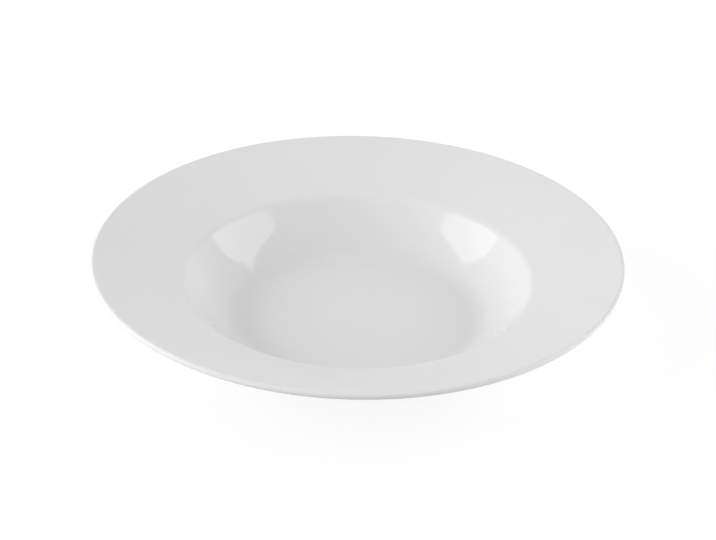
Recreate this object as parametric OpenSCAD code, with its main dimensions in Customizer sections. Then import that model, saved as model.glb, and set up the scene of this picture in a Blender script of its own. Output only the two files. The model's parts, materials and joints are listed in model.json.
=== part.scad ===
// Wide-rim pasta bowl in glazed white porcelain.
// The fired clay body is one turned piece: floor, well, rim, lip and foot ring.
// A thin glass coat covers it everywhere but on the bearing face of the foot ring.
// The bare ring parts the glaze into two skins: the main coat and the disc in the recess.
// Millimetres, +Z up, origin at the centre of the circle that the foot ring stands on.

/* [Bowl] */
// Diameter over the lip
bowl_d = 300; // [292:1:312]
// Height from the table to the top of the lip
bowl_h = 52; // [50:0.5:54]
// Diameter at the edge where the rim turns down into the well
well_d = 197; // [188:1:210]
// Depth of the well floor below the top of the lip
well_depth = 43; // [40:0.5:44]

/* [Slopes] */
// Rise of the rim towards the lip, in degrees
rim_slope = 17.5; // [16:0.5:19]
// How much steeper the underside of the rim runs, in degrees, which thickens it inwards
rim_draft = 1.5; // [0.5:0.1:2.5]
// Slope of the well wall above its bend, in degrees
wall_slope = 50; // [46:1:54]
// Slope of the well wall below its bend, in degrees
cove_slope = 40; // [36:1:44]
// Depth of the bend below the edge of the well
bend_drop = 16; // [13:0.5:17]
// Slope of the underside where it leaves the foot ring, in degrees
belly_slope = 12; // [8:1:18]

/* [Thickness] */
// Upright thickness of the rim at the lip
lip_t = 3.6; // [3.5:0.1:4.5]
// Thickness of the well wall
wall_t = 5; // [4:0.1:6]
// Thickness of the floor
floor_t = 5.5; // [4.5:0.1:6.2]

/* [Roundings] */
// Rounding of the lip, above and below
lip_round = 1.6; // [1:0.1:1.6]
// Roll of the edge between rim and well
well_edge_round = 8; // [4:0.5:14]
// Bend of the well wall, on its inner face
bend_round = 70; // [40:5:80]
// Cove between the well wall and the floor
cove_round = 20; // [15:1:30]
// Round between the belly and the outside of the wall
belly_round = 22; // [12:1:24]
// Hollow under the edge of the well
under_rim_round = 13; // [6:0.5:20]

/* [Foot ring] */
// Outer diameter of the bearing face, before its edges are rounded
foot_d = 134; // [126:1:138]
// Width of the bearing face, before its edges are rounded
foot_w = 4.4; // [4:0.1:6]
// Lean of both sides of the ring, in degrees, which widens it towards its root
foot_flare = 11; // [6:1:14]
// Height of the ring on its outer side
foot_h = 6; // [5:0.1:6.5]
// Rounding of the edges of the bearing face
foot_round = 1; // [0.6:0.1:1]
// Fillet at the root of the ring, inside the recess
recess_fillet = 1.8; // [0.8:0.1:1.8]
// Fillet at the root of the ring, outside
belly_fillet = 3; // [1:0.1:3.5]

/* [Glaze] */
// Thickness of the glaze
glaze_t = 0.3; // [0.2:0.05:0.5]
// Height above the table where the glaze is wiped off the foot ring
glaze_line = 1.6; // [1.4:0.1:1.7]

/* [Hidden] */
// Steps round a full turn
$fn = 144;
// How far a rounding circle stands past the two lines that it joins, so that it crosses them
lap = 0.002;
// How far a corner piece or a cutting block reaches past the outline
margin = 1;

bowl_r = bowl_d / 2;
well_r = well_d / 2;
floor_z = bowl_h - well_depth;
recess_z = floor_z - floor_t;
foot_out_r = foot_d / 2;
foot_in_r = foot_out_r - foot_w;
foot_mid_r = foot_out_r - foot_w / 2;

// The rim line meets the outermost circle above the rounded lip's own top.
lip_z = bowl_h + lip_round * (tan(rim_slope) + 1 / cos(rim_slope) - 1);
well_z = lip_z - (bowl_r - well_r) * tan(rim_slope);
wall_bend = [well_r - bend_drop / tan(wall_slope), well_z - bend_drop];
floor_corner_r = wall_bend.x - (wall_bend.y - floor_z) / tan(cove_slope);
foot_root = [foot_out_r + foot_h * tan(foot_flare), foot_h];
lip_low = [bowl_r, lip_z - lip_t];

// Point where a line through p at angle a meets a line through q at angle b
function meet(p, a, q, b) =
    let (r = (q.y - p.y + p.x * tan(a) - q.x * tan(b)) / (tan(a) - tan(b)))
    [r, p.y + (r - p.x) * tan(a)];

// Point on the outside of the wall across from its bend, square to a stretch of slope a
function outside(a) = wall_bend + wall_t * [sin(a), -cos(a)];

// The half outline of the glazed bowl, up from the recess and back along the upper face.
// Each row is a sharp corner, its rounding, and whether the side that leaves it is glazed.
CORNERS = [
    [[0, recess_z], 0, true],
    [[foot_in_r - recess_z * tan(foot_flare), recess_z], recess_fillet, true],
    [[foot_in_r, 0], foot_round, false],
    [[foot_out_r, 0], foot_round, true],
    [foot_root, belly_fillet, true],
    [meet(foot_root, belly_slope, outside(cove_slope), cove_slope), belly_round, true],
    [meet(outside(cove_slope), cove_slope, outside(wall_slope), wall_slope), bend_round + wall_t, true],
    [meet(lip_low, rim_slope + rim_draft, outside(wall_slope), wall_slope), under_rim_round, true],
    [lip_low, lip_round, true],
    [[bowl_r, lip_z], lip_round, true],
    [[well_r, well_z], well_edge_round, true],
    [wall_bend, bend_round, true],
    [[floor_corner_r, floor_z], cove_round, true],
    [[0, floor_z], 0, false],
];
LAST = len(CORNERS) - 1;

function before(i) = i == 0 ? LAST : i - 1;
function after(i) = i == LAST ? 0 : i + 1;
function unit(v) = v / norm(v);
function cross2(a, b) = a.x * b.y - a.y * b.x;

// Direction of the side that leaves corner i, and its normal into the clay
function along(i) = unit(CORNERS[after(i)][0] - CORNERS[i][0]);
function inward(i) = [-along(i).y, along(i).x];
// A corner that bulges into the air, against one that is hollow
function is_convex(i) = cross2(along(before(i)), along(i)) > 0;

// Corner i with its two glazed sides moved into the clay by depth
function inset_corner(i, depth) =
    let (a = inward(before(i)), b = inward(i))
    let (da = CORNERS[before(i)][2] ? depth : 0, db = CORNERS[i][2] ? depth : 0)
    CORNERS[i][0] + [b.y * da - a.y * db, a.x * db - b.x * da] / cross2(a, b);
function inset_round(i, depth) = CORNERS[i][1] + (is_convex(i) ? -depth : depth);

// The circle that rounds corner i: how far from the tip it starts, its ends and its centre
function reach(i, depth) =
    inset_round(i, depth) * tan(acos(along(before(i)) * along(i)) / 2);
function round_start(i, depth) = inset_corner(i, depth) - along(before(i)) * reach(i, depth);
function round_end(i, depth) = inset_corner(i, depth) + along(i) * reach(i, depth);
function round_centre(i, depth) =
    round_start(i, depth)
    + inward(before(i)) * inset_round(i, depth) * (is_convex(i) ? 1 : -1);

// Points of the outline at corner i before it is rounded: a hollow one is filled by a chord
function raw_points(i, depth) =
    CORNERS[i][1] == 0 || is_convex(i)
    ? [inset_corner(i, depth)]
    : [round_start(i, depth), round_end(i, depth)];

// Wedge from the circle's centre past corner i, a little wider than the circle's arc in a hollow
module rounding_wedge(i, depth) {
    r = inset_round(i, depth);
    centre = round_centre(i, depth);
    spread = (r + margin) / r;
    wider = is_convex(i) ? 0 : margin;
    outer = [
        round_start(i, depth) - along(before(i)) * wider,
        inset_corner(i, depth),
        round_end(i, depth) + along(i) * wider,
    ];
    polygon([centre, for (p = outer) centre + (p - centre) * spread]);
}

module rounding_circle(i, depth) {
    translate(round_centre(i, depth)) circle(inset_round(i, depth) + lap);
}

// What comes off corner i: the waste outside the circle, or the circle's own slice in a hollow
module rounding_cut(i, depth) {
    if (is_convex(i)) difference() {
        rounding_wedge(i, depth);
        rounding_circle(i, depth);
    }
    else intersection() {
        rounding_wedge(i, depth);
        rounding_circle(i, depth);
    }
}

// Half section of the bowl, with its glazed sides moved in by depth
module section(depth) {
    difference() {
        polygon([for (i = [0:LAST]) each raw_points(i, depth)]);
        for (i = [0:LAST]) if (CORNERS[i][1] > 0) rounding_cut(i, depth);
    }
}

// Half section of both glaze skins, wiped off the foot ring
module glaze_section() {
    difference() {
        section(0);
        section(glaze_t);
        translate([foot_in_r - foot_w, -margin]) square([3 * foot_w, margin + glaze_line]);
    }
}

// Block that holds the skin of the recess and none of the main coat
module recess_zone() {
    translate([-margin, -margin]) square([foot_mid_r + margin, margin + recess_z + floor_t / 2]);
}

module porcelain_body() {
    color("#EFEBE2") rotate_extrude() section(glaze_t);
}

module glaze_coat() {
    color("#F4F5F4") rotate_extrude() difference() {
        glaze_section();
        recess_zone();
    }
}

module recess_glaze() {
    color("#EEF0EF") rotate_extrude() intersection() {
        glaze_section();
        recess_zone();
    }
}

porcelain_body();
glaze_coat();
recess_glaze();
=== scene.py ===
"""A wide-rim pasta bowl in glazed white porcelain, turned, glazed and lit as for a catalogue.

The bowl is a clay body with two skins of glaze on it. Each is drawn as a half outline with
extrudes and spins and then turned about the bowl's axis, so every surface is a true revolve.
"""

import json
import logging
import math
from collections.abc import Iterable, Mapping
from dataclasses import dataclass, field
from enum import Enum
from typing import Any

import bpy
from mathutils import Matrix, Vector


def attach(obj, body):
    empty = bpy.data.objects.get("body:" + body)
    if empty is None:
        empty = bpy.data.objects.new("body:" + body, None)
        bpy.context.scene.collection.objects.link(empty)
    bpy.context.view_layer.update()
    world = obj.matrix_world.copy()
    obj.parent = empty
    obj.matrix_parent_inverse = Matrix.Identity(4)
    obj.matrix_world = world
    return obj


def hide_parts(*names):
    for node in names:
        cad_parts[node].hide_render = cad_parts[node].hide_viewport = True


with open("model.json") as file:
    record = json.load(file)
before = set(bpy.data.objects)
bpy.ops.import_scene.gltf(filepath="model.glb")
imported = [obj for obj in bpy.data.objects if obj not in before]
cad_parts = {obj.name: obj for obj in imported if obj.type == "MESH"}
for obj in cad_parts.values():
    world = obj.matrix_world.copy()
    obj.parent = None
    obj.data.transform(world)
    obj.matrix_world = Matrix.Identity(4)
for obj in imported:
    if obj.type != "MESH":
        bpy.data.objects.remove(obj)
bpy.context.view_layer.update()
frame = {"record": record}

MM = 0.001
IMAGE_WIDTH_PX = 716
LOG = logging.getLogger("pasta_bowl")


class Slot(Enum):
    """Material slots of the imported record."""

    GLAZE = "white_glaze"
    CLAY = "bare_porcelain"


class Side(Enum):
    """Side of the table that a softbox stands on, as the sign of X."""

    LEFT = -1
    RIGHT = 1


class Duty(Enum):
    """What a softbox is hung for: to light the bowl, or to be mirrored in its glaze."""

    LIGHT = "light"
    SHEEN = "sheen"


def linear(hex_colour: str) -> tuple[float, float, float, float]:
    """Turn an sRGB hex colour into the linear colour that a shader takes.

    Args:
        hex_colour: Six hex digits after a hash.

    Returns:
        Linear red, green and blue, and an alpha of one.
    """
    parts = [int(hex_colour[i:i + 2], 16) / 255 for i in (1, 3, 5)]
    curve = [c / 12.92 if c <= 0.04045 else ((c + 0.055) / 1.055) ** 2.4 for c in parts]
    return (*curve, 1.0)


def add_node(
    tree: bpy.types.NodeTree,
    kind: str,
    settings: Mapping[str | int, Any] | None = None,
    links: Mapping[str | int, bpy.types.NodeSocket] | None = None,
) -> bpy.types.Node:
    """Add a shader node, set it and link it.

    Args:
        tree: The node tree that takes the node.
        kind: Blender's name of the node type.
        settings: Values by input name or index, or by property name where no input has it.
        links: Output sockets by the name or index of the input that they feed.

    Returns:
        The new node.
    """
    node = tree.nodes.new(kind)
    for key, value in (settings or {}).items():
        if isinstance(key, int) or key in node.inputs:
            node.inputs[key].default_value = value
        else:
            setattr(node, key, value)
    for key, socket in (links or {}).items():
        tree.links.new(socket, node.inputs[key])
    return node


def empty_material(name: str) -> tuple[bpy.types.Material, bpy.types.NodeTree]:
    """Make a material with no nodes.

    Args:
        name: Name of the finish.

    Returns:
        The material and its node tree.
    """
    material = bpy.data.materials.new(name)
    material.use_nodes = True
    material.node_tree.nodes.clear()
    return material, material.node_tree


@dataclass(frozen=True)
class GlazeFinish:
    """Clear glossy glaze over white porcelain, dipped and fired.

    The glass flows level in the kiln, so it mirrors softboxes with clean edges, with only a slow
    ripple where it ran, and its white shifts a little where it lies thicker.
    """

    name: str = "glossy_porcelain_glaze"
    white: str = "#F0F0EF"
    thick_white: str = "#ECEDED"
    ior: float = 1.5
    roughness: float = 0.06
    cloud_mm: float = 55.0
    cloud_detail: float = 2.0
    ripple_mm: float = 14.0
    ripple_detail: float = 1.0
    ripple_depth_mm: float = 0.004

    def material(self) -> bpy.types.Material:
        """Build the glaze's nodes.

        Returns:
            The finished material.
        """
        material, tree = empty_material(self.name)
        place = {"Vector": add_node(tree, "ShaderNodeTexCoord").outputs["Object"]}
        cloud = add_node(
            tree,
            "ShaderNodeTexNoise",
            {"Scale": 1 / (self.cloud_mm * MM), "Detail": self.cloud_detail},
            place,
        )
        colour = add_node(
            tree,
            "ShaderNodeMix",
            {"data_type": "RGBA", "A": linear(self.white), "B": linear(self.thick_white)},
            {"Factor": cloud.outputs["Fac"]},
        )
        ripple = add_node(
            tree,
            "ShaderNodeTexNoise",
            {"Scale": 1 / (self.ripple_mm * MM), "Detail": self.ripple_detail},
            place,
        )
        bump = add_node(
            tree,
            "ShaderNodeBump",
            {"Strength": 1.0, "Distance": self.ripple_depth_mm * MM},
            {"Height": ripple.outputs["Fac"]},
        )
        shader = add_node(
            tree,
            "ShaderNodeBsdfPrincipled",
            {"Roughness": self.roughness, "IOR": self.ior},
            {"Base Color": colour.outputs["Result"], "Normal": bump.outputs["Normal"]},
        )
        add_node(tree, "ShaderNodeOutputMaterial", links={"Surface": shader.outputs["BSDF"]})
        return material


@dataclass(frozen=True)
class ClayFinish:
    """Bare porcelain of the foot ring, wiped clean of glaze and ground flat after firing.

    It is matt and a little warmer than the glaze, with a fine grit and scattered dark specks.
    """

    name: str = "ground_bare_porcelain"
    warm: str = "#E9E3D7"
    rubbed: str = "#D9D3C8"
    speck: str = "#8C7A66"
    ior: float = 1.5
    roughness: float = 0.72
    # Ground porcelain is finer than this. It is drawn as coarse as it needs to show.
    grit_mm: float = 0.6
    grit_detail: float = 3.0
    grit_depth_mm: float = 0.03
    rub_mm: float = 9.0
    rub_detail: float = 4.0
    speck_spacing_mm: float = 3.5
    speck_share: float = 0.09

    def material(self) -> bpy.types.Material:
        """Build the bare clay's nodes.

        Returns:
            The finished material.
        """
        material, tree = empty_material(self.name)
        place = {"Vector": add_node(tree, "ShaderNodeTexCoord").outputs["Object"]}
        rub = add_node(
            tree,
            "ShaderNodeTexNoise",
            {"Scale": 1 / (self.rub_mm * MM), "Detail": self.rub_detail},
            place,
        )
        clay = add_node(
            tree,
            "ShaderNodeMix",
            {"data_type": "RGBA", "A": linear(self.warm), "B": linear(self.rubbed)},
            {"Factor": rub.outputs["Fac"]},
        )
        cells = add_node(
            tree,
            "ShaderNodeTexVoronoi",
            {"Scale": 1 / (self.speck_spacing_mm * MM)},
            place,
        )
        is_speck = add_node(
            tree,
            "ShaderNodeMath",
            {"operation": "LESS_THAN", 1: self.speck_share},
            {0: cells.outputs["Distance"]},
        )
        colour = add_node(
            tree,
            "ShaderNodeMix",
            {"data_type": "RGBA", "B": linear(self.speck)},
            {"Factor": is_speck.outputs["Value"], "A": clay.outputs["Result"]},
        )
        grit = add_node(
            tree,
            "ShaderNodeTexNoise",
            {"Scale": 1 / (self.grit_mm * MM), "Detail": self.grit_detail},
            place,
        )
        bump = add_node(
            tree,
            "ShaderNodeBump",
            {"Strength": 1.0, "Distance": self.grit_depth_mm * MM},
            {"Height": grit.outputs["Fac"]},
        )
        shader = add_node(
            tree,
            "ShaderNodeBsdfPrincipled",
            {"Roughness": self.roughness, "IOR": self.ior},
            {"Base Color": colour.outputs["Result"], "Normal": bump.outputs["Normal"]},
        )
        add_node(tree, "ShaderNodeOutputMaterial", links={"Surface": shader.outputs["BSDF"]})
        return material


@dataclass(frozen=True)
class Bend:
    """A rounded corner of the half outline, in millimetres from the axis and the table."""

    start: Vector
    end: Vector
    centre: Vector
    turn: float

    def reverse(self) -> "Bend":
        """Return the same bend, run the other way."""
        return Bend(self.end, self.start, self.centre, -self.turn)


@dataclass(frozen=True)
class Corner:
    """A sharp corner of the half outline, its rounding, and whether the side after it is glazed."""

    place: Vector
    rounding: float
    glazed: bool = True


@dataclass
class HalfOutline:
    """The half outline of the glazed bowl, worked out from its sizes in millimetres and degrees."""

    diameter: float
    height: float
    well_diameter: float = 197.0
    well_depth: float = 43.0
    rim_slope: float = 17.5
    rim_draft: float = 1.5
    wall_slope: float = 50.0
    cove_slope: float = 40.0
    bend_drop: float = 16.0
    belly_slope: float = 12.0
    lip: float = 3.6
    wall: float = 5.0
    floor: float = 5.5
    lip_round: float = 1.6
    well_edge_round: float = 8.0
    bend_round: float = 70.0
    cove_round: float = 20.0
    belly_round: float = 22.0
    under_rim_round: float = 13.0
    foot_diameter: float = 134.0
    foot_width: float = 4.4
    foot_flare: float = 11.0
    foot_height: float = 6.0
    foot_round: float = 1.0
    recess_fillet: float = 1.8
    belly_fillet: float = 3.0
    corners: list[Corner] = field(init=False)

    def __post_init__(self) -> None:
        """Work out the sharp corners, from the recess round to the floor of the well."""
        rim, under, flare = (
            math.tan(math.radians(a))
            for a in (self.rim_slope, self.rim_slope + self.rim_draft, self.foot_flare)
        )
        wall, cove, belly = (
            math.tan(math.radians(a)) for a in (self.wall_slope, self.cove_slope, self.belly_slope)
        )
        lip_r, well_r = self.diameter / 2, self.well_diameter / 2
        foot_out = self.foot_diameter / 2
        foot_in = foot_out - self.foot_width
        lip_z = self.height + self.lip_round * (rim + math.hypot(1, rim) - 1)
        well_z = lip_z - (lip_r - well_r) * rim
        bend = Vector((well_r - self.bend_drop / wall, well_z - self.bend_drop))
        upper, lower = (
            bend + self.wall * Vector((rise, -1)).normalized() for rise in (wall, cove)
        )
        root = Vector((foot_out + self.foot_height * flare, self.foot_height))
        lip_low = Vector((lip_r, lip_z - self.lip))
        self.corners = [
            Corner(Vector((0, self.recess_z)), 0),
            Corner(Vector((foot_in - self.recess_z * flare, self.recess_z)), self.recess_fillet),
            Corner(Vector((foot_in, 0)), self.foot_round, glazed=False),
            Corner(Vector((foot_out, 0)), self.foot_round),
            Corner(root, self.belly_fillet),
            Corner(self._meet(root, belly, lower, cove), self.belly_round),
            Corner(self._meet(lower, cove, upper, wall), self.bend_round + self.wall),
            Corner(self._meet(lip_low, under, upper, wall), self.under_rim_round),
            Corner(lip_low, self.lip_round),
            Corner(Vector((lip_r, lip_z)), self.lip_round),
            Corner(Vector((well_r, well_z)), self.well_edge_round),
            Corner(bend, self.bend_round),
            Corner(Vector((bend.x - (bend.y - self.floor_z) / cove, self.floor_z)), self.cove_round),
            Corner(Vector((0, self.floor_z)), 0, glazed=False),
        ]

    @property
    def floor_z(self) -> float:
        """Height of the well's floor above the table."""
        return self.height - self.well_depth

    @property
    def recess_z(self) -> float:
        """Height of the roof of the recess inside the foot ring."""
        return self.floor_z - self.floor

    @staticmethod
    def _meet(p: Vector, rise_p: float, q: Vector, rise_q: float) -> Vector:
        """Find where two lines meet.

        Args:
            p: A point on the first line.
            rise_p: Rise of the first line for each step outwards.
            q: A point on the second line.
            rise_q: Rise of the second line for each step outwards.

        Returns:
            The point that both lines pass.
        """
        r = (q.y - p.y + p.x * rise_p - q.x * rise_q) / (rise_p - rise_q)
        return Vector((r, p.y + (r - p.x) * rise_p))

    def along(self, i: int) -> Vector:
        """Return the direction of the side that leaves corner i."""
        return (self.corners[(i + 1) % len(self.corners)].place - self.corners[i].place).normalized()

    def inset(self, i: int, depth: float) -> Vector:
        """Move corner i into the clay.

        Args:
            i: Index of the corner.
            depth: How far its glazed sides move in; bare sides stay.

        Returns:
            Where the two moved sides meet.
        """
        before = (i - 1) % len(self.corners)
        u, v = self.along(before), self.along(i)
        a, b = Vector((-u.y, u.x)), Vector((-v.y, v.x))
        da = depth if self.corners[before].glazed else 0.0
        db = depth if self.corners[i].glazed else 0.0
        return self.corners[i].place + Vector((b.y * da - a.y * db, a.x * db - b.x * da)) / a.cross(b)

    def bend(self, i: int, depth: float) -> Bend:
        """Round corner i of the outline at a depth below the glaze.

        Args:
            i: Index of a rounded corner.
            depth: How far the outline is moved into the clay.

        Returns:
            The arc between the two straight sides.
        """
        u, v = self.along((i - 1) % len(self.corners)), self.along(i)
        turn = math.atan2(u.cross(v), u.dot(v))
        radius = self.corners[i].rounding - math.copysign(depth, turn)
        reach = radius * math.tan(abs(turn) / 2)
        tip = self.inset(i, depth)
        start = tip - u * reach
        centre = start + Vector((-u.y, u.x)) * math.copysign(radius, turn)
        return Bend(start, tip + v * reach, centre, turn)

    def bends(self, first: int, last: int, depth: float) -> list[Bend]:
        """Return the bends from one corner to another, both included, at a depth."""
        return [self.bend(i, depth) for i in range(first, last + 1)]

    def on_side(self, i: int, height: float, depth: float) -> Vector:
        """Find the point at a height on the side that leaves corner i, at a depth."""
        tip, step = self.inset(i, depth), self.along(i)
        return tip + step * ((height - tip.y) / step.y)


@dataclass(frozen=True)
class Steps:
    """Steps of a drawn face: along a line in millimetres, and round wide and tight bends in degrees."""

    line: float
    wide: float
    tight: float


class Face(Enum):
    """Whether a face shows, or lies hidden between the clay and the glaze."""

    SHOWN = Steps(line=8.0, wide=2.5, tight=6.0)
    HIDDEN = Steps(line=60.0, wide=10.0, tight=15.0)


@dataclass
class Lathe:
    """Draws a half outline with extrudes and spins, then turns it about the bowl's axis."""

    name: str
    face: Face = Face.SHOWN
    tight_radius: float = 4.0
    least_steps: int = 3
    turn_steps: int = 384
    merge_mm: float = 0.001
    pen: Vector = field(init=False)

    @staticmethod
    def _place(point: Vector) -> Vector:
        """Put an outline point in millimetres into the part's frame in metres."""
        return Vector((point.x * MM, 0.0, point.y * MM))

    def start(self, point: Vector) -> None:
        """Begin the outline with a plane that is merged to one vertex.

        Args:
            point: First point of the outline.
        """
        bpy.ops.object.select_all(action="DESELECT")
        bpy.ops.mesh.primitive_plane_add(size=MM, location=self._place(point))
        bpy.context.object.name = self.name
        bpy.ops.object.mode_set(mode="EDIT")
        bpy.ops.mesh.select_mode(type="VERT")
        bpy.ops.mesh.select_all(action="SELECT")
        bpy.ops.mesh.merge(type="CENTER")
        self.pen = point

    def line(self, end: Vector) -> None:
        """Extrude the last vertex along a straight side.

        Args:
            end: Where the side ends.
        """
        steps = max(1, round((end - self.pen).length / self.face.value.line))
        move = self._place(end - self.pen) / steps
        for _ in range(steps):
            bpy.ops.mesh.extrude_region_move(TRANSFORM_OT_translate={"value": move})
        self.pen = end

    def arc(self, bend: Bend) -> None:
        """Spin the last vertex round a bend, in finer steps where it is wide and mirrors more.

        Args:
            bend: The arc to follow, from its start.
        """
        radius = (bend.start - bend.centre).length
        step = self.face.value.tight if radius < self.tight_radius else self.face.value.wide
        bpy.ops.mesh.spin(
            steps=max(self.least_steps, math.ceil(math.degrees(abs(bend.turn)) / step)),
            angle=abs(bend.turn),
            center=self._place(bend.centre),
            axis=(0.0, math.copysign(1.0, bend.turn), 0.0),
        )
        self.pen = bend.end

    def follow(self, bends: Iterable[Bend]) -> None:
        """Draw a run of bends with straight sides between them.

        Args:
            bends: The bends in the order in which they are drawn.
        """
        for bend in bends:
            self.line(bend.start)
            self.arc(bend)

    def turn(self) -> bpy.types.Object:
        """Turn the outline a full circle and close its poles.

        Returns:
            The finished piece, smooth, at the origin.
        """
        bpy.ops.mesh.select_all(action="SELECT")
        bpy.ops.mesh.spin(steps=self.turn_steps, angle=math.tau, center=(0, 0, 0), axis=(0, 0, 1))
        bpy.ops.mesh.select_all(action="SELECT")
        bpy.ops.mesh.remove_doubles(threshold=self.merge_mm * MM)
        bpy.ops.mesh.normals_make_consistent(inside=False)
        bpy.ops.object.mode_set(mode="OBJECT")
        bpy.ops.object.transform_apply(location=True, rotation=True, scale=True)
        bpy.ops.object.shade_smooth()
        bpy.ops.object.modifier_add(type="WEIGHTED_NORMAL")
        bpy.ops.object.modifier_apply(modifier=bpy.context.object.modifiers[-1].name)
        return bpy.context.object


@dataclass
class Bowl:
    """The bowl: a clay body with a main coat of glaze and a disc of glaze in its recess."""

    outline: HalfOutline
    glaze: GlazeFinish = GlazeFinish()
    clay: ClayFinish = ClayFinish()
    glaze_depth: float = 0.3
    glaze_line: float = 1.6

    # Places in the outline's list of corners.
    RECESS_CORNER = 1
    FOOT_CORNER = 3
    ROOT_CORNER = 4
    COVE_CORNER = 12

    @staticmethod
    def _nose(start: Vector, end: Vector) -> Bend:
        """Round the wiped edge of the glaze, from one face of the skin to the other."""
        return Bend(start, end, (start + end) / 2, math.pi)

    @staticmethod
    def _dress(
        piece: bpy.types.Object, material: bpy.types.Material, node: str, slot: Slot
    ) -> bpy.types.Object:
        """Give a piece its finish and tie it to the part.

        Args:
            piece: The modelled piece.
            material: Its finish.
            node: The solid that it stands for.
            slot: The record's slot of that finish; not used.

        Returns:
            The same piece.
        """
        piece.data.materials.clear()
        piece.data.materials.append(material)
        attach(piece, "root")
        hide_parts(node)
        return piece

    def build_body(self) -> bpy.types.Object:
        """Turn the clay body, whose bare foot ring is all that shows of it.

        Returns:
            The dressed piece.
        """
        outline, depth = self.outline, self.glaze_depth
        lathe = Lathe("clay_body")
        lathe.start(outline.inset(0, depth))
        lathe.follow(outline.bends(self.RECESS_CORNER, self.ROOT_CORNER, depth))
        lathe.face = Face.HIDDEN
        lathe.follow(outline.bends(self.ROOT_CORNER + 1, self.COVE_CORNER, depth))
        lathe.line(outline.inset(self.COVE_CORNER + 1, depth))
        return self._dress(lathe.turn(), self.clay.material(), "porcelain_body", Slot.CLAY)

    def build_coat(self, material: bpy.types.Material) -> bpy.types.Object:
        """Turn the main coat, a closed skin from the floor of the well round to the foot ring.

        Args:
            material: The glaze.

        Returns:
            The dressed piece.
        """
        outline, depth = self.outline, self.glaze_depth
        inner = outline.on_side(self.FOOT_CORNER, self.glaze_line, depth)
        outer = outline.on_side(self.FOOT_CORNER, self.glaze_line, 0)
        lathe = Lathe("glaze_coat_skin", Face.HIDDEN)
        lathe.start(outline.inset(self.COVE_CORNER + 1, depth))
        inside = outline.bends(self.ROOT_CORNER, self.COVE_CORNER, depth)
        lathe.follow(bend.reverse() for bend in reversed(inside))
        lathe.line(inner)
        lathe.face = Face.SHOWN
        lathe.arc(self._nose(inner, outer))
        lathe.follow(outline.bends(self.ROOT_CORNER, self.COVE_CORNER, 0))
        lathe.line(outline.inset(self.COVE_CORNER + 1, 0))
        return self._dress(lathe.turn(), material, "glaze_coat", Slot.GLAZE)

    def build_recess(self, material: bpy.types.Material) -> bpy.types.Object:
        """Turn the glaze inside the foot ring, a closed skin like a shallow cap.

        Args:
            material: The glaze.

        Returns:
            The dressed piece.
        """
        outline, depth = self.outline, self.glaze_depth
        outer = outline.on_side(self.RECESS_CORNER, self.glaze_line, 0)
        inner = outline.on_side(self.RECESS_CORNER, self.glaze_line, depth)
        lathe = Lathe("recess_glaze_skin")
        lathe.start(outline.inset(0, 0))
        lathe.follow([outline.bend(self.RECESS_CORNER, 0)])
        lathe.line(outer)
        lathe.arc(self._nose(outer, inner))
        lathe.face = Face.HIDDEN
        lathe.follow([outline.bend(self.RECESS_CORNER, depth).reverse()])
        lathe.line(outline.inset(0, depth))
        return self._dress(lathe.turn(), material, "recess_glaze", Slot.GLAZE)

    def build(self) -> list[bpy.types.Object]:
        """Make and dress the three pieces.

        Returns:
            The clay body, the main coat and the glaze of the recess.
        """
        glaze = self.glaze.material()
        return [self.build_body(), self.build_coat(glaze), self.build_recess(glaze)]


@dataclass(frozen=True)
class CatalogueCamera:
    """The photograph's camera: a long lens in front of the bowl, a little rolled, placed in metres."""

    distance: float = 1.2
    elevation_deg: float = 29.41
    roll_deg: float = 1.12
    focal_px: float = 2117.0
    sensor_mm: float = 36.0
    aim_x: float = 0.0002
    aim_below_lip: float = 0.0124

    def build(self, lip_z: float) -> None:
        """Place the camera and make it the scene's own.

        Args:
            lip_z: Height of the top of the lip, in metres.
        """
        data = bpy.data.cameras.new("catalogue_camera")
        data.sensor_width = self.sensor_mm
        data.lens = self.focal_px * self.sensor_mm / IMAGE_WIDTH_PX
        camera = bpy.data.objects.new("catalogue_camera", data)
        bpy.context.scene.collection.objects.link(camera)
        aim = Vector((self.aim_x, 0.0, lip_z - self.aim_below_lip))
        tilt = Matrix.Rotation(math.radians(90 - self.elevation_deg), 4, "X")
        back = tilt @ Vector((0.0, 0.0, 1.0))
        roll = Matrix.Rotation(math.radians(self.roll_deg), 4, "Z")
        camera.matrix_world = Matrix.Translation(aim + back * self.distance) @ tilt @ roll
        bpy.context.scene.camera = camera


@dataclass(frozen=True)
class Softbox:
    """A softbox that stands upright beside the bowl and glows evenly, with its edges in metres."""

    name: str
    side: Side
    radiance: float
    rear: float
    front: float
    top: float
    base: float = 0.16
    distance: float = 2.0
    duty: Duty = Duty.LIGHT

    def build(self) -> None:
        """Hang the softbox as an area light that faces the bowl."""
        light = bpy.data.lights.new(self.name, "AREA")
        light.shape = "RECTANGLE"
        light.size, light.size_y = self.rear - self.front, self.top - self.base
        light.energy = self.radiance * math.pi * light.size * light.size_y
        lamp = bpy.data.objects.new(self.name, light)
        bpy.context.scene.collection.objects.link(lamp)
        facing = Vector((self.side.value, 0.0, 0.0))
        middle = Vector((0.0, (self.rear + self.front) / 2, (self.top + self.base) / 2))
        lamp.matrix_world = (
            Matrix.Translation(facing * self.distance + middle)
            @ facing.to_track_quat("Z", "Y").to_matrix().to_4x4()
        )
        lamp.visible_camera = False
        lamp.visible_diffuse = self.duty is Duty.LIGHT
        lamp.visible_glossy = self.duty is Duty.SHEEN
        LOG.info("%s hung for %s", self.name, self.duty.value)


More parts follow.
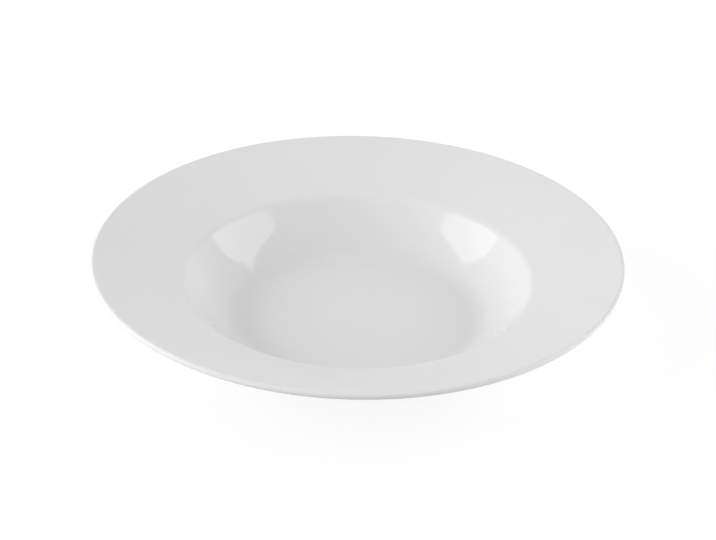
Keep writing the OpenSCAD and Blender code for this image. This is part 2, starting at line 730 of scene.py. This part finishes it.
@dataclass(frozen=True)
class Studio:
    """White backlit sweep in a pale room, with softboxes on both sides and the key at the left front.

    The softboxes light the bowl but are not mirrored in it, because their low parts would burn its
    rim out. Two panels are mirrored instead. They hang a little nearer than the softboxes, because
    of two lamps that lie in one plane a ray meets only one.
    """

    softboxes: tuple[Softbox, ...] = (
        Softbox("left_key_softbox", Side.LEFT, radiance=5.4, rear=-0.7, front=-2.1, top=1.95),
        Softbox("left_rear_softbox", Side.LEFT, radiance=1.88, rear=0.8, front=-0.7, top=1.95),
        Softbox("right_softbox", Side.RIGHT, radiance=1.72, rear=1.02, front=-2.6, top=1.94),
        Softbox(
            "left_sheen",
            Side.LEFT,
            radiance=1.88,
            rear=0.8,
            front=-0.7,
            top=1.95,
            base=0.9,
            distance=1.98,
            duty=Duty.SHEEN,
        ),
        Softbox(
            "right_sheen",
            Side.RIGHT,
            radiance=1.72,
            rear=1.02,
            front=-0.7,
            top=1.94,
            base=0.9,
            distance=1.98,
            duty=Duty.SHEEN,
        ),
    )
    # The room's light fades out towards the front, and in the glaze the room is evenly pale.
    fill: float = 0.6
    dark_front: float = -0.8
    room: float = 0.77
    # The paper's light on the bowl is dim in a lane below it and full to both sides.
    lane_glow: float = 0.2
    side_glow: float = 0.9
    lane_x: float = -0.05
    lane_half: float = 0.095
    side_reach: float = 0.25
    bounce_share: float = 0.2
    # To the eye the paper is backlit, and the rest of its white is light that the bowl can shade.
    backlight: float = 0.82
    shadow_share: float = 0.25
    floor_size: float = 3.9
    mirror_bounces: int = 16
    all_bounces: int = 24

    def build_world(self) -> None:
        """Show white to the camera and a pale room in reflections, and fill from above and behind."""
        world = bpy.data.worlds.new("pale_studio")
        bpy.context.scene.world = world
        world.use_nodes = True
        tree = world.node_tree
        tree.nodes.clear()
        rays = add_node(tree, "ShaderNodeLightPath").outputs
        towards = add_node(tree, "ShaderNodeTexCoord").outputs["Generated"]
        axes = add_node(tree, "ShaderNodeSeparateXYZ", links={"Vector": towards}).outputs
        fill = add_node(
            tree,
            "ShaderNodeMapRange",
            {"From Min": self.dark_front, "From Max": 0.0, "To Max": self.fill},
            {"Value": axes["Y"]},
        )
        mirrored = add_node(
            tree,
            "ShaderNodeMath",
            {"operation": "MAXIMUM"},
            {0: rays["Is Glossy Ray"], 1: rays["Is Transmission Ray"]},
        )
        light = add_node(
            tree,
            "ShaderNodeMix",
            {"B": self.room},
            {"Factor": mirrored.outputs[0], "A": fill.outputs["Result"]},
        )
        strength = add_node(
            tree,
            "ShaderNodeMath",
            {"operation": "MAXIMUM"},
            {0: rays["Is Camera Ray"], 1: light.outputs["Result"]},
        )
        background = add_node(
            tree,
            "ShaderNodeBackground",
            {"Color": (1.0, 1.0, 1.0, 1.0)},
            {"Strength": strength.outputs[0]},
        )
        add_node(tree, "ShaderNodeOutputWorld", links={"Surface": background.outputs[0]})

    @staticmethod
    def _glowing_paper(
        tree: bpy.types.NodeTree, share: float, glow: bpy.types.Node
    ) -> bpy.types.NodeSocket:
        """Add paper that throws light back and glows through.

        Args:
            tree: The node tree of the paper.
            share: Share of the studio's light that it throws back.
            glow: The emission of its backlight.

        Returns:
            The shader's output.
        """
        matt = add_node(tree, "ShaderNodeBsdfDiffuse", {"Color": (share, share, share, 1.0)})
        both = add_node(tree, "ShaderNodeAddShader", links={0: matt.outputs[0], 1: glow.outputs[0]})
        return both.outputs[0]

    def _paper_sweep(self) -> bpy.types.Material:
        """Make the sweep's paper, backlit to white, with the bowl's faint shadow on it.

        The camera and the glaze see it white. The light that it throws on the bowl is weaker, and
        dim in the lane below the bowl.

        Returns:
            The material, which is clear from below so that the bowl's underside can be seen.
        """
        material, tree = empty_material("backlit_white_paper")
        rays = add_node(tree, "ShaderNodeLightPath").outputs
        seen = rays["Is Camera Ray"]
        for kind in ("Is Glossy Ray", "Is Transmission Ray"):
            either = add_node(
                tree,
                "ShaderNodeMath",
                {"operation": "MAXIMUM"},
                {0: seen, 1: rays[kind]},
            )
            seen = either.outputs[0]
        place = add_node(tree, "ShaderNodeTexCoord").outputs["Object"]
        axes = add_node(tree, "ShaderNodeSeparateXYZ", links={"Vector": place}).outputs
        offset = add_node(
            tree,
            "ShaderNodeMath",
            {"operation": "SUBTRACT", 1: self.lane_x},
            {0: axes["X"]},
        )
        across = add_node(tree, "ShaderNodeMath", {"operation": "ABSOLUTE"}, {0: offset.outputs[0]})
        rise = add_node(
            tree,
            "ShaderNodeMapRange",
            {
                "From Min": self.lane_half,
                "From Max": self.side_reach,
                "To Min": self.lane_glow,
                "To Max": self.side_glow,
            },
            {"Value": across.outputs[0]},
        )
        fill = add_node(tree, "ShaderNodeEmission", links={"Strength": rise.outputs["Result"]})
        white = add_node(tree, "ShaderNodeEmission", {"Strength": self.backlight})
        lit = self._glowing_paper(tree, self.bounce_share, fill)
        shown = self._glowing_paper(tree, self.shadow_share, white)
        upper = add_node(tree, "ShaderNodeMixShader", links={"Fac": seen, 1: lit, 2: shown})
        clear = add_node(tree, "ShaderNodeBsdfTransparent")
        below = add_node(tree, "ShaderNodeNewGeometry").outputs["Backfacing"]
        surface = add_node(
            tree,
            "ShaderNodeMixShader",
            links={"Fac": below, 1: upper.outputs[0], 2: clear.outputs[0]},
        )
        add_node(tree, "ShaderNodeOutputMaterial", links={"Surface": surface.outputs[0]})
        return material

    def build_floor(self) -> None:
        """Lay the white sweep that the bowl stands on."""
        bpy.ops.object.select_all(action="DESELECT")
        bpy.ops.mesh.primitive_plane_add(size=self.floor_size, location=(0, 0, 0))
        floor = bpy.context.object
        floor.name = "white_sweep"
        floor.data.materials.append(self._paper_sweep())

    def build(self) -> None:
        """Set the whole studio up."""
        self.build_world()
        self.build_floor()
        for softbox in self.softboxes:
            softbox.build()
        scene = bpy.context.scene
        # Light runs round the hollow wall of the well in many grazing bounces before it leaves.
        scene.cycles.glossy_bounces = self.mirror_bounces
        scene.cycles.max_bounces = self.all_bounces
        scene.view_settings.view_transform = "Standard"


def main() -> None:
    """Build the bowl, then the camera and the studio round it."""
    logging.basicConfig(level=logging.INFO, format="%(name)s: %(message)s")
    width, _, height = frame["record"]["size"]["bbox_m"]
    for piece in Bowl(HalfOutline(diameter=width / MM, height=height / MM)).build():
        LOG.info("%s has %d faces", piece.name, len(piece.data.polygons))
    CatalogueCamera().build(lip_z=height)
    Studio().build()


if __name__ == "__main__":
    main()
